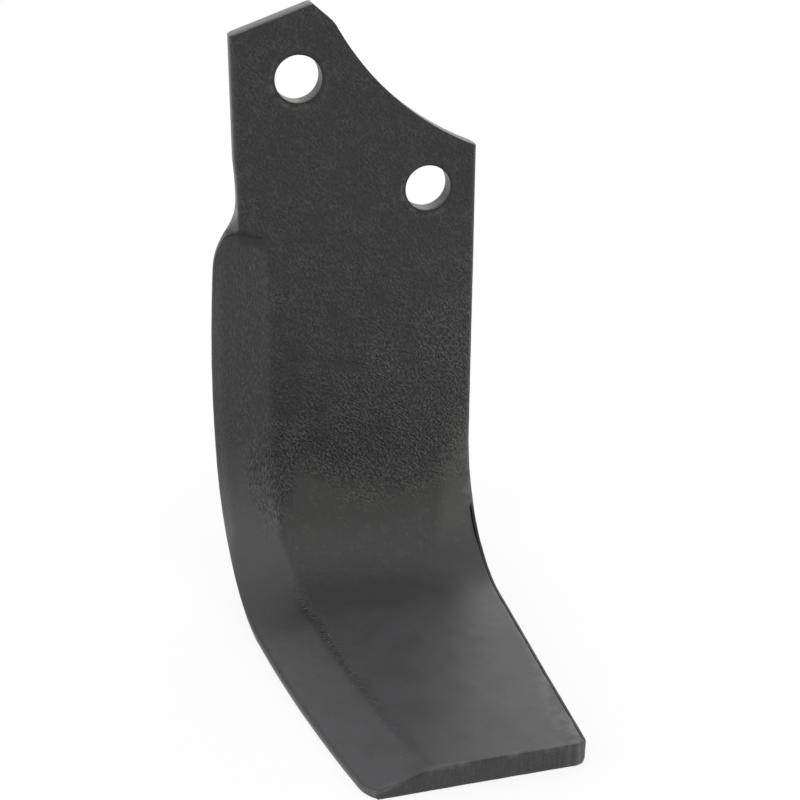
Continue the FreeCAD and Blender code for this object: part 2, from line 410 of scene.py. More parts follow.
class Shell:
    """Points of the blank as (x, s, depth), and faces between them."""

    def __init__(self):
        self.points = []
        self.faces = []

    def point(self, x, s, depth):
        self.points.append((x, s, depth))
        return len(self.points) - 1

    def face(self, *corners):
        ring = []
        for corner in corners:
            if corner not in ring:
                ring.append(corner)
        if len(ring) > 2:
            self.faces.append(ring)


shell = Shell()


def bounds_of_column(column):
    """First and last row of a column, and the exact s where it is cut at each end."""
    def x_at(row):
        return sections[row][column][0]

    guess = nearest(rows, top_s(x_at(0)))
    first_s = top_s(x_at(guess))
    last_s = end_s(x_at(nearest(rows, blade_end)))
    for _ in range(4):
        last_s = end_s(x_at(nearest(rows, last_s)))
    return nearest(rows, first_s), nearest(rows, last_s), first_s, last_s


limits = [bounds_of_column(column) for column in range(column_count)]

# Rounding of the cut edges: its size, how far round it a middle point lies, its share at the corners
cut_round = 0.45
round_middle = 0.3
round_at_corners = 0.5


def build_skin():
    """Rows and columns of the shell, snapped to the sheared top and the cropped end."""
    grid = {}
    for column in range(column_count):
        first, last, first_s, last_s = limits[column]
        for row in range(first, last + 1):
            x, depth = sections[row][column]
            s = rows[row]
            if row == first:
                s = first_s + cut_round
            if row == last:
                s = last_s - cut_round
            grid[column, row] = shell.point(x, s, depth)
    for column in range(column_count):
        after = (column + 1) % column_count
        a0, a1 = limits[column][:2]
        b0, b1 = limits[after][:2]
        low = max(a0, b0)
        high = min(a1, b1)
        for row in range(low, high):
            if not in_patch(column, row):
                shell.face(grid[column, row], grid[column, row + 1],
                           grid[after, row + 1], grid[after, row])
        for row in range(a0, low):
            shell.face(grid[column, row], grid[column, row + 1], grid[after, low])
        for row in range(b0, low):
            shell.face(grid[after, row + 1], grid[after, row], grid[column, low])
        for row in range(high, a1):
            shell.face(grid[column, row], grid[column, row + 1], grid[after, high])
        for row in range(high, b1):
            shell.face(grid[after, row + 1], grid[after, row], grid[column, high])
    return grid


grid = build_skin()
cap_strips = 6


def build_cap(at_top):
    """Face of a cut end: a rounded rim all round, then strips across the thickness."""
    which = 0 if at_top else 1
    inward = 1 if at_top else -1
    rim = []
    for column in range(column_count):
        row = limits[column][which]
        x, s, depth = shell.points[grid[column, row]]
        exact = limits[column][which + 2]
        toward_middle = 1 if depth < bar_thickness / 2 else -1
        on_face = column < bevel_columns or depth in (0.0, bar_thickness)
        shift = cut_round * toward_middle * (1 if on_face else round_at_corners)
        half_s = exact + inward * cut_round * round_middle
        half = shell.point(x, half_s, depth + shift * round_middle)
        full = shell.point(x, exact, depth + shift)
        rim.append((grid[column, row], half, full))
    for column in range(column_count):
        here = rim[column]
        after = rim[(column + 1) % column_count]
        for k in (0, 1):
            if at_top:
                shell.face(here[k], after[k], after[k + 1], here[k + 1])
            else:
                shell.face(here[k], here[k + 1], after[k + 1], after[k])
    return rim


rims = [build_cap(True), build_cap(False)]


def close_cap(rim, at_top):
    """Strips between each front column and the back column behind it."""
    start = front_count + side_count // 2
    stop = -(side_count // 2) - 1
    lines = []
    for step in range(start - stop + 1):
        here = (start - step) % column_count
        there = across_pair(here)
        a = shell.points[rim[here][2]]
        b = shell.points[rim[there][2]]
        if here == there:
            lines.append([rim[here][2]] * (cap_strips + 1))
            continue
        line = [rim[here][2]]
        for k in range(1, cap_strips):
            t = k / cap_strips
            line.append(shell.point(*[p + (q - p) * t for p, q in zip(a, b)]))
        line.append(rim[there][2])
        lines.append(line)
    for one, two in zip(lines, lines[1:]):
        for k in range(cap_strips):
            if at_top:
                shell.face(one[k], two[k], two[k + 1], one[k + 1])
            else:
                shell.face(one[k], one[k + 1], two[k + 1], two[k])


close_cap(rims[0], True)
close_cap(rims[1], False)


def patch_ring(patch, back):
    """Corner points of the square in order round it, as (column, row)."""
    c0, c1, r0, r1 = patch
    ring = [(c, r0) for c in range(c0, c1)]
    ring += [(c1, r) for r in range(r0, r1)]
    ring += [(c, r1) for c in range(c1, c0, -1)]
    ring += [(c0, r) for r in range(r1, r0, -1)]
    if back:
        ring = [(across_pair(c), r) for c, r in ring]
    return ring


def build_hole(centre, patch):
    """Rings from the square to the rim, round the rim, down the wall and out at the back."""
    outer = hole_radius + rim_radius
    angles = []
    for c, r in patch_ring(patch, False):
        x, s, _ = shell.points[grid[c, r]]
        angles.append(atan2(s - centre[1], x - centre[0]))

    def circle(r, depth):
        return [shell.point(centre[0] + r * cos(a), centre[1] + r * sin(a), depth) for a in angles]

    def side(back):
        depth = bar_thickness if back else 0.0
        square = [grid[c, r] for c, r in patch_ring(patch, back)]
        rings = [square]
        for k in range(1, patch_rings):
            t = k / patch_rings
            ring = []
            for corner, a in zip(square, angles):
                x, s, _ = shell.points[corner]
                rim_x = centre[0] + outer * cos(a)
                rim_s = centre[1] + outer * sin(a)
                ring.append(shell.point(x + (rim_x - x) * t, s + (rim_s - s) * t, depth))
            rings.append(ring)
        for k in range(rim_rings + 1):
            a = pi / 2 * k / rim_rings
            sunk = rim_radius - rim_radius * cos(a)
            rings.append(circle(outer - rim_radius * sin(a), bar_thickness - sunk if back else sunk))
        return rings

    loops = side(False)
    for k in range(1, wall_rings):
        t = k / wall_rings
        loops.append(circle(hole_radius, rim_radius + (bar_thickness - 2 * rim_radius) * t))
    loops += reversed(side(True))
    count = len(angles)
    for one, two in zip(loops, loops[1:]):
        for k in range(count):
            after = (k + 1) % count
            shell.face(one[k], two[k], two[after], one[after])


for centre, patch in zip(hole_centres, patches):
    build_hole(centre, patch)


# Fold that the bending and pressing left just inside the plain edge of the wing
fold_depth = 0.9
fold_width = 0.42
fold_from_edge = 1.25
fold_wander = 0.2
fold_wander_length = 9.0
fold_start = bend_start + 24
fold_opens = (fold_start, fold_start + 3)
fold_closes = (blade_end - 5, blade_end - 2)
fold_gaping = 0.8
gaping_ends = (fold_start + 12, fold_start + 20)
fold_depth_range = (1.6, 2.2)


def fold_share(x, s, depth):
    """The fold: widest on the inside of the bend, then a fine line out to the wing's corner. Its share
    presses the fold in and also paints it near black as shade.
    """
    along = ramp(s, *fold_opens) * fade(s, *fold_closes)
    deep = 1 + fold_gaping * fade(s, *gaping_ends)
    line = right_edge - fold_from_edge - fold_wander * wander((0, s, 0), fold_wander_length, 11, 2)
    hollow = exp(-((x - line) / (fold_width * deep)) ** 2)
    return along * deep * hollow * fade(depth, *fold_depth_range)


# Marks of the forging, in millimetres, that lie in the surface itself
wave_depth = 0.05
wave_size = 38.0
rolled_pit_depth = 0.012
forged_pit_depth = 0.03
pit_size = 5.0
pits_deepen = (step_s, step_s + 25)
scar_depth = 0.10
scar_roughness = 0.16
scar_lump_size = 2.2
scar_width = 1.7
scar_wander = 0.6
scar_wander_length = 14.0
scar_starts = (bend_start, bend_end)
scar_ends = (blade_end - 26, blade_end - 6)
scar_depth_range = (0.0, 1.2)


def scar_x(s):
    """x of the rough line that wanders along the ridge on the wing."""
    return ridge_x(s) + scar_wander * wander((0, s, 0), scar_wander_length, 3, 3)


def relief(x, s, depth):
    """How far the surface is pressed in at a place of the blank."""
    place = (x, s, depth)
    front = fade(depth - bevel_depth(x, s), *scar_depth_range)
    sunk = wave_depth * (1 + wander(place, wave_size, 1, 2)) + fold_depth * fold_share(x, s, depth)
    pits = rolled_pit_depth + forged_pit_depth * ramp(s, *pits_deepen)
    sunk += pits * wander(place, pit_size, 2, 3)
    scar = ramp(s, *scar_starts) * fade(s, *scar_ends) * exp(-((x - scar_x(s)) / scar_width) ** 2)
    sunk += front * scar * (scar_depth + scar_roughness * wander((x, s, 0), scar_lump_size, 4, 2))
    return max(sunk, 0.0)


def make_blade():
    """Mesh of the shell, with the relief pressed in along its normals."""
    mesh = bpy.data.meshes.new("forged_blade")
    used = sorted({corner for ring in shell.faces for corner in ring})
    order = {corner: i for i, corner in enumerate(used)}
    points = [shell.points[corner] for corner in used]
    faces = [[order[corner] for corner in ring] for ring in shell.faces]
    mesh.from_pydata([on_blade(*p) * MM for p in points], [], faces)
    work = bmesh.new()
    work.from_mesh(mesh)
    bmesh.ops.recalc_face_normals(work, faces=work.faces)
    if work.calc_volume(signed=True) < 0:
        bmesh.ops.reverse_faces(work, faces=work.faces)
    work.to_mesh(mesh)
    work.free()
    normals = [v.normal.copy() for v in mesh.vertices]
    for vertex, normal, place in zip(mesh.vertices, normals, points):
        pressed = vertex.co - normal * relief(*place) * MM
        vertex.co = [min(max(c, low), high) for c, low, high in zip(pressed, *cad_box)]
    blank = mesh.attributes.new("blank", "FLOAT_VECTOR", "POINT")
    for i, place in enumerate(points):
        blank.data[i].vector = Vector(place) * MM
    for name, rule in masks.items():
        layer = mesh.attributes.new(name, "FLOAT", "POINT")
        for i, place in enumerate(points):
            layer.data[i].value = rule(*place)
    mesh.shade_smooth()
    mesh.update()
    blade = bpy.data.objects.new("forged_blade", mesh)
    bpy.context.collection.objects.link(blade)
    return blade


# Where finishes, painted shade and painted highlights start and stop down the blade, in millimetres from
# the middle of the bolt holes
scale_grows = (20, 60)
scale_coarsens = (65, 100)
scale_thins_on_left = (60, 90)
scale_end = bend_start + 22
patch_starts = (92, 110)
smooth_starts = (122, 134)
smooth_ends = (136, 156)
grain_end = 108
grain_deepens = (96, 114)
margin_starts = (104, 122)
margin_ends = (130, 142)
strip_starts = (step_s, 60)
strip_brightens = (105, 133)
strip_narrows = (128, 146)
strip_ends = (134, 148)
# Painted shade on the bevel inside the bend starts and ends here
shade_starts = (136, 156)
shade_ends = (160, 192)
flank_bright = (neck_s + 2, step_s - 1)
glint_starts = (step_s + 8, step_s + 20)
glint_ends = (step_s + 24, step_s + 60)
lip_starts = (bend_start + 10, bend_start + 24)
streak_starts = (bend_end - 30, bend_end)
streak_pales = (bend_end + 15, blade_end - 25)
streak_ends = (blade_end - 30, blade_end - 5)
scuffs_start = (bend_end - 16, bend_end + 12)
scuffs_widen = (blade_end - 60, blade_end - 5)
wing_from = bend_start + 28
wing_full = bend_end + 10
bevel_lead = 45

# Where they lie across the blade, in millimetres
scale_middle_x = 8
scale_half_width = 25
left_half = (-5, 22)
patch_across = (29, 39)
grain_across = (5, 14)
strip_width = 3.2
strip_narrowing = 1.6
scuff_width = 3.5
scuff_widening = 9

# How deep behind the front they fade out, in millimetres
front_fade = (0.2, 1.0)
dust_fade = (0.5, 1.5)
strip_fade = (0.4, 1.4)
scuff_fade = (0.6, 1.4)
ridge_fade = (1.0, 2.0)
hole_fade = (1.5, 3.0)
lip_fade = (2.5, 3.5)


def behind_front(x, s, depth):
    """Depth behind the pressed front face."""
    return depth - bevel_depth(x, s)


def from_hole(x, s):
    """Steps in x and s from the nearer bolt hole's centre."""
    cx, cs = min(hole_centres, key=lambda centre: hypot(x - centre[0], s - centre[1]))
    return x - cx, s - cs


# Where each finish, painted shade and painted highlight shows, as a share from 0 to 1 for every point
def bevel_share(x, s, depth):
    """The forged bevel on the front face."""
    below_step = ramp(s - step_at(x), 0.0, 2.0)
    across = ramp(ridge_x(s) - x, -0.5, 0.5)
    return across * below_step * fade(behind_front(x, s, depth), *front_fade)


def ridge_share(x, s, depth):
    """The rough streak along the ridge on the wing."""
    along = ramp(s, *streak_starts) * fade(s, *streak_ends) * (1 - 0.6 * ramp(s, *streak_pales))
    return along * fade(abs(x - scar_x(s)), 0.4, 2.6) * fade(depth, *ridge_fade)


def scale_recess(x, s):
    """How much sooner the scale ends away from the middle of the bar, but not by the ridge."""
    return 10 * ((x - scale_middle_x) / scale_half_width) ** 2 * ramp(x - ridge_x(s), 4, 9)


def scale_share(x, s, depth):
    """Coarse scale on the shank, thickest towards the right and just before it smooths in the bend."""
    place = (x, s, depth)
    strength = 0.26 + 0.16 * ramp(s, *scale_grows) + 0.58 * ramp(s + 0.5 * x, *scale_coarsens)
    strength *= 1 - 0.25 * ramp(-x, *left_half) * ramp(s, *scale_thins_on_left)
    end = scale_end - scale_recess(x, s) + 6 * wander(place, 7.0, 6, 3)
    strength *= fade(s, end - 9, end + 5)
    return min(max(strength * (1.1 + 0.9 * wander(place, 10.0, 7, 4)), 0.0), 1.0)


def light_share(x, s, depth):
    """Paler, smoother steel at the start of the bend, most of all near the plain edge."""
    patch = ramp(x + 0.30 * (s - 100), *patch_across) * ramp(s, *patch_starts)
    smooth = 0.45 * ramp(s + scale_recess(x, s), *smooth_starts)
    return max(patch, smooth) * fade(s, *smooth_ends)


def cut_share(x, s, depth):
    """The sheared top and the cropped end of the wing."""
    return max(fade(s - top_s(x), 0.1, 0.6), ramp(s - end_s(x), -0.6, -0.1))


def bare_share(x, s, depth):
    """The leaning flank above the shoulder, where the trimming left the steel bare."""
    flank = ramp(s, neck_s + 1, neck_s + 3) * fade(s - step_at(x), -0.6, 0.2)
    return flank * (1 - 0.65 * ramp(s, *flank_bright)) * fade(x - neck_x, -0.3, 0.1)


def top_share(x, s, depth):
    """The bare part of the sheared top, behind the dark roll-over at its front rim, painted lighter also
    as a highlight.
    """
    # Lighter towards the back of the top: bare steel and painted highlight
    worn = ramp(depth, 1.8, 3.4) * (0.7 + 0.3 * ramp(depth, 3.5, 7.0))
    return fade(s - top_s(x), 0.05, 0.5) * worn


def rim_share(x, s, depth):
    """The worn walls of the bolt holes, lightest below, behind their dark front rims."""
    across, below = from_hole(x, s)
    past_wall = hypot(across, below) - hole_radius
    wall = fade(past_wall, 0.1, 0.5) * ramp(depth, *hole_fade)
    return wall * (0.1 + 0.9 * ramp(below / hole_radius, 0.45, 0.9))


def funnel_share(x, s, depth):
    """Painted shade on the rounded rim round each bolt hole."""
    past_rim = hypot(*from_hole(x, s)) - hole_radius - rim_radius
    return fade(past_rim, 0.0, 1.2) * fade(depth, *hole_fade)


def dust_share(x, s, depth):
    """Broken ring of pale wear outside each hole's rim, strongest on the left and below."""
    across, below = from_hole(x, s)
    ring = hole_radius + rim_radius + 0.5
    side = 0.35 + 0.65 * ramp((below - across) / ring, -0.6, 0.9)
    broken = ramp(wander((x, s, 0), 1.6, 14, 3), -0.25, 0.35)
    band = exp(-((hypot(across, below) - ring) / 0.7) ** 2)
    return side * broken * band * fade(depth, *dust_fade)


def lip_share(x, s, depth):
    """The raised edge outside the fold, where the coating is thin, painted paler also as a highlight."""
    across = ramp(x, right_edge - 0.9, right_edge - 0.5)
    return ramp(s, *lip_starts) * across * fade(depth, *lip_fade)


def step_shade_share(x, s, depth):
    """Painted shade on the wall of the step and in the corner under it."""
    below = s - step_at(x)
    wall = ramp(below, -2.4, -0.6) * fade(below, 1.5, 5.5)
    return wall * ramp(ridge_x(s) - x, -1.0, 1.5) * ramp(x - neck_x, -0.6, 0.4)


def grain_share(x, s, depth):
    """Drawn grain on the bevel: it runs furthest down next to the ridge."""
    across = x - edge_x(s)
    stop = grain_end + 30 * ramp(across, *grain_across) + 4 * wander((x, s, 0), 6.0, 8, 2)
    near = 0.6 + 0.2 * ramp(across, 4, 12) + 0.8 * ramp(across, 8, 13) * ramp(s, *grain_deepens)
    along = ramp(s - step_at(x), 1.0, 4.0) * fade(s, stop - 8, stop + 4)
    front = ramp(ridge_x(s) - x, -1.0, 0.5) * fade(behind_front(x, s, depth), *front_fade)
    return front * near * along


def pale_share(x, s, depth):
    """Scuffed, paler patches along the plain edge, at the wing's corner and along its end."""
    inset = scuff_width + scuff_widening * ramp(s, *scuffs_widen)
    patch = min(max(0.4 + 1.5 * wander((x, s, 0), 3.2, 9, 4), 0.0), 1.0)
    on_wing = ramp(s, *scuffs_start) * ramp(x, right_edge - inset, right_edge - 1)
    margin = ramp(s, *margin_starts) * fade(s, *margin_ends)
    margin *= 0.7 * ramp(x, right_edge - 5.5, right_edge - 2.5)
    rim = ramp(s - end_s(x), -1.6, -0.6) * ramp(wander((x, s, 0), 5.0, 12, 4), -0.4, 0.7)
    rim *= 0.6 * fade(behind_front(x, s, depth), *scuff_fade)
    return max(max(on_wing, margin) * patch, rim)


def glint_share(x, s, depth):
    """Painted highlight: a broken bright line along the ridge on the shank."""
    along = ramp(s, *glint_starts) * fade(s, *glint_ends)
    broken = ramp(wander((0, s, 0), 3.0, 10, 3), -0.15, 0.25)
    line = exp(-((x - ridge_x(s) + 0.5) / 0.45) ** 2)
    return along * broken * line * fade(depth, *ridge_fade)


def strip_share(x, s, depth):
    """The worn strip along the cutting edge, brightest where the bend starts."""
    along = 0.25 * ramp(s, *strip_starts) + 0.75 * ramp(s, *strip_brightens)
    width = strip_width - strip_narrowing * ramp(s, *strip_narrows)
    width += 0.9 * wander((0, s, 0), 8.0, 13, 3)
    across = fade(x - edge_x(s), width - 2.0, width + 1.4)
    return along * fade(s, *strip_ends) * across * fade(behind_front(x, s, depth), *strip_fade)


def wing_share(x, s, depth):
    """The wing, past the bend, and the bevel that leads to it, with painted shade that keeps the bevel
    darker inside the bend.
    """
    on_bevel = ramp(ridge_x(s) - x, -0.5, 3.0)
    lead = bevel_lead * on_bevel
    bend_shade = on_bevel * ramp(s, *shade_starts) * fade(s, *shade_ends)
    return ramp(s, wing_from - lead, wing_full - lead) * (1 - 0.62 * bend_shade)


masks = {"bevel": bevel_share, "ridge": ridge_share, "scale": scale_share, "cut": cut_share,
         "top": top_share, "wing": wing_share, "bare": bare_share, "rim": rim_share,
         "funnel": funnel_share, "fold": fold_share, "lip": lip_share, "step": step_shade_share,
         "light": light_share, "grain": grain_share, "pale": pale_share, "glint": glint_share,
         "strip": strip_share, "dust": dust_share}
blade = make_blade()


class Nodes:
    """Short ways to add and join shader nodes."""

    def __init__(self, material):
        self.tree = material.node_tree
        self.tree.nodes.clear()

    def add(self, kind, **settings):
        """A node with its inputs and settings given by name."""
        node = self.tree.nodes.new(kind)
        for name, value in settings.items():
            if name in node.inputs.keys():
                node.inputs[name].default_value = value
            else:
                setattr(node, name, value)
        return node

    def link(self, source, target):
        self.tree.links.new(source, target)

    def share(self, name):
        """One of the blade's masks."""
        return self.add("ShaderNodeAttribute", attribute_name=name).outputs["Fac"]

    def math(self, operation, *values):
        node = self.add("ShaderNodeMath", operation=operation)
        for socket, value in zip(node.inputs, values):
            if isinstance(value, (int, float)):
                socket.default_value = value
            else:
                self.link(value, socket)
        return node.outputs[0]

    def product(self, *values):
        result = values[0]
        for value in values[1:]:
            result = self.math("MULTIPLY", result, value)
        return result

    def total(self, *values):
        result = values[0]
        for value in values[1:]:
            result = self.math("ADD", result, value)
        return result

    def blend(self, share, one, two):
        """Colour one where the share is 0, colour two where it is 1."""
        node = self.add("ShaderNodeMix", data_type="RGBA")
        for socket, value in ((node.inputs[0], share), (node.inputs[6], one), (node.inputs[7], two)):
            if isinstance(value, (int, float, tuple)):
                socket.default_value = value
            else:
                self.link(value, socket)
        return node.outputs[2]

    def over(self, coat, colour, *shares):
        """The colour laid over the coat by the product of the shares."""
        return self.blend(self.product(*shares), coat, colour)

    def band(self, value, low, high):
        """0 where the value is at low, 1 where it is at high, smooth between."""
        node = self.add("ShaderNodeMapRange", interpolation_type="SMOOTHSTEP")
        node.inputs["From Min"].default_value = low
        node.inputs["From Max"].default_value = high
        self.link(value, node.inputs["Value"])
        return node.outputs["Result"]

    def noise(self, vector, size, detail=4.0, rough=0.55):
        """Noise with features of the given size in metres."""
        node = self.add("ShaderNodeTexNoise", Scale=1.0 / size, Detail=detail, Roughness=rough)
        self.link(vector, node.inputs["Vector"])
        return node.outputs["Fac"]

    def stretched(self, vector, along=1.0, turn=0.0, shift=(0.0, 0.0, 0.0), through=1.0):
        """Vector whose noise is drawn out along s, or turned from it, or through the thickness."""
        node = self.add("ShaderNodeMapping", vector_type="TEXTURE")
        node.inputs["Location"].default_value = shift
        node.inputs["Scale"].default_value = (1.0, along, through)
        node.inputs["Rotation"].default_value = (0.0, 0.0, radians(turn))
        self.link(vector, node.inputs["Vector"])
        return node.outputs["Vector"]


# Colours of the coat on the shank, the bevel and the wing
coat_dark = (0.0052, 0.0052, 0.0052, 1)
coat_mottled = (0.0088, 0.0088, 0.0084, 1)
coat_smooth = (0.055, 0.055, 0.052, 1)
coat_on_bevel = (0.020, 0.020, 0.0195, 1)
wing_clouded = (0.051, 0.052, 0.051, 1)
wing_warm = (0.060, 0.0615, 0.0585, 1)
wing_cold = (0.062, 0.060, 0.069, 1)

# Colours of the marks in it, among them the scale's hollows painted dark as shade
scale_hollow_shade = (0.0, 0.0, 0.0, 1)
scale_pale = (0.095, 0.095, 0.090, 1)
smooth_hollow_shade = (0.018, 0.018, 0.017, 1)
smooth_pale = (0.145, 0.145, 0.138, 1)
hair_pale = (0.120, 0.119, 0.112, 1)
clump_dark = (0.002, 0.002, 0.002, 1)
nick_pale = (0.14, 0.14, 0.14, 1)
strip_pale = (0.105, 0.105, 0.101, 1)
grain_pale = (0.130, 0.129, 0.122, 1)
grain_dark = (0.004, 0.004, 0.004, 1)
speck_pale = (0.10, 0.097, 0.088, 1)
scar_dark = (0.010, 0.010, 0.010, 1)

# Colours of the edges, the holes and the step, among them painted shade and painted highlights
sheared_dark = (0.013, 0.013, 0.013, 1)
sheared_pale = (0.026, 0.026, 0.025, 1)
# Bare steel on the sheared top, painted lighter also as a highlight
top_dark_highlight = (0.12, 0.12, 0.106, 1)
top_pale_highlight = (0.26, 0.26, 0.24, 1)
wall_dark = (0.03, 0.03, 0.024, 1)
wall_pale = (0.30, 0.30, 0.25, 1)
scuff_pale = (0.15, 0.152, 0.15, 1)
# Painted highlight along the shank's ridge
glint_painted_highlight = (0.14, 0.14, 0.13, 1)
# Painted shade for the rounded rims of the bolt holes
funnel_painted_shade = (0.004, 0.004, 0.003, 1)
dust_pale = (0.115, 0.112, 0.095, 1)
# Painted shade for the step's wall and the corner under it
step_painted_shade = (0.0, 0.0, 0.0, 1)
flank_bare = (0.13, 0.13, 0.107, 1)
# Thin coating on the raised edge, painted paler also as a highlight
lip_pale_highlight = (0.12, 0.125, 0.11, 1)
# Painted shade: the fold is coloured near black for the shade in its crease
fold_painted_shade = (0.001, 0.001, 0.001, 1)

# Sizes of the noises in metres
mottle_size = 0.014
cloud_size = 0.012
tint_size = 0.006
lump_size = 0.0045
curl_size = 0.0030
across_size = 0.0016
nick_size = 0.0011
torn_size = 0.0010
stipple_size = 0.0008
stroke_size = 0.0007
speck_size = 0.0005
grain_size = 0.00034

# How far some are drawn out, and turned from the length of the blade
stroke_length = 2.0
stroke_turn = -45.0
crossing_turn = 12.0
curl_length = 1.6
curl_turn = -20.0
grain_length = 4.5
across_length = 0.4
torn_through = 5.0
# Each stroke is painted light on one flank, as light falling from that side, this far across it in
# metres
stroke_shift = (0.00020, -0.00020, 0.0)
bump_depth = 0.00025


def scale_pits(n, blank, lumps):
    """Height of the scale: strokes light on one flank and dark on the other, crossed by others, and
    lumpy; in colour this paints light from one side.
    """
    strokes = n.noise(n.stretched(blank, stroke_length, stroke_turn), stroke_size, 2.0, 0.6)
    beside = n.noise(n.stretched(blank, stroke_length, stroke_turn, stroke_shift), stroke_size, 2.0, 0.6)
    crossing = n.noise(n.stretched(blank, stroke_length, crossing_turn), stroke_size, 3.0, 0.6)
    worn = n.product(n.math("SUBTRACT", strokes, beside), 0.6)
    mixed = n.total(worn, n.product(crossing, 0.6), 0.2)
    return n.total(mixed, n.product(n.math("SUBTRACT", lumps, 0.5), 0.15))


def shank_coat(n, blank, mottle, lumps, pits, rolled):
    """The shank: thin coat, scale in strokes, fine curled scratches and dark clumps, with the scale's
    hollows painted dark as shade and its strokes painted light on one flank.
    """
    light = n.share("light")
    coarse = n.share("scale")
    hollow = n.blend(light, scale_hollow_shade, smooth_hollow_shade)
    stroke = n.blend(light, scale_pale, smooth_pale)
    coat = n.blend(n.band(mottle, 0.35, 0.65), coat_dark, coat_mottled)
    coat = n.over(coat, coat_smooth, light)
    # Painted shade in the scale's hollows and painted light on one flank of its strokes
    coat = n.over(coat, n.blend(n.band(pits, 0.39, 0.70), hollow, stroke), coarse)
    curls = n.noise(n.stretched(blank, curl_length, curl_turn), curl_size, 3.0, 0.6)
    hairs = n.band(n.math("ABSOLUTE", n.math("SUBTRACT", curls, 0.5)), 0.022, 0.004)
    coat = n.over(coat, hair_pale, hairs, n.band(lumps, 0.42, 0.58), rolled, 0.22)
    coat = n.over(coat, clump_dark, n.band(lumps, 0.53, 0.64), coarse, 0.55)
    return n.over(coat, coat_on_bevel, n.share("bevel"), 0.85)


def wing_coat(n, blank):
    """The wing: smooth, cool and warm in patches, with darker clouds and small nicks."""
    cold = n.noise(blank, tint_size, 3.0, 0.5)
    clouds = n.noise(blank, cloud_size, 5.0, 0.6)
    nicks = n.noise(blank, nick_size, 2.0, 0.7)
    tint = n.blend(n.band(cold, 0.42, 0.58), wing_warm, wing_cold)
    coat = n.blend(n.band(clouds, 0.30, 0.56), wing_clouded, tint)
    return n.over(coat, nick_pale, n.band(nicks, 0.66, 0.72), 0.35)


def marks(n, coat, grain, specks, across):
    """Marks on the faces: worn strip, drawn grain, specks and the dark scar along the ridge."""
    drawn = n.share("grain")
    coat = n.over(coat, strip_pale, n.share("strip"))
    coat = n.over(coat, grain_pale, drawn, n.band(grain, 0.48, 0.72), 0.45)
    coat = n.over(coat, grain_dark, drawn, n.band(grain, 0.50, 0.30), 0.6)
    coat = n.over(coat, speck_pale, n.band(specks, 0.62, 0.72), 0.3)
    return n.over(coat, scar_dark, n.share("ridge"), n.band(across, 0.40, 0.60), 0.8)


def edges(n, coat, blank, stipple):
    """Cut ends, scuffs, the painted highlight on the ridge, the top with bare steel painted lighter as a
    highlight, holes with painted shade on their rims, painted shade on the step, bare flank, and the
    fold painted near black as shade, with its thinly coated lip painted paler also as a highlight.
    """
    torn = n.noise(n.stretched(blank, through=torn_through), torn_size, 3.0, 0.6)
    sheared = n.blend(n.band(torn, 0.4, 0.66), sheared_dark, sheared_pale)
    # Bare sheared top, painted lighter also as a highlight
    top = n.blend(stipple, top_dark_highlight, top_pale_highlight)
    wall = n.blend(n.band(stipple, 0.35, 0.7), wall_dark, wall_pale)
    coat = n.over(coat, sheared, n.share("cut"), 0.9)
    coat = n.over(coat, scuff_pale, n.share("pale"), 0.65)
    # Painted highlight along the shank's ridge
    coat = n.over(coat, glint_painted_highlight, n.share("glint"), 0.35)
    coat = n.over(coat, top, n.share("top"))
    # Painted shade on the holes' rounded rims
    coat = n.over(coat, funnel_painted_shade, n.share("funnel"), 0.8)
    coat = n.over(coat, dust_pale, n.share("dust"), 0.5)
    coat = n.over(coat, wall, n.share("rim"))
    # Painted shade on the step's wall and in the corner under it
    coat = n.over(coat, step_painted_shade, n.share("step"), 0.7)
    coat = n.over(coat, flank_bare, n.share("bare"))
    # Raised edge: thin coating and painted highlight
    coat = n.over(coat, lip_pale_highlight, n.share("lip"), 0.5)
    # Painted shade: the fold coloured near black
    return n.over(coat, fold_painted_shade, n.math("MINIMUM", n.share("fold"), 1.0))


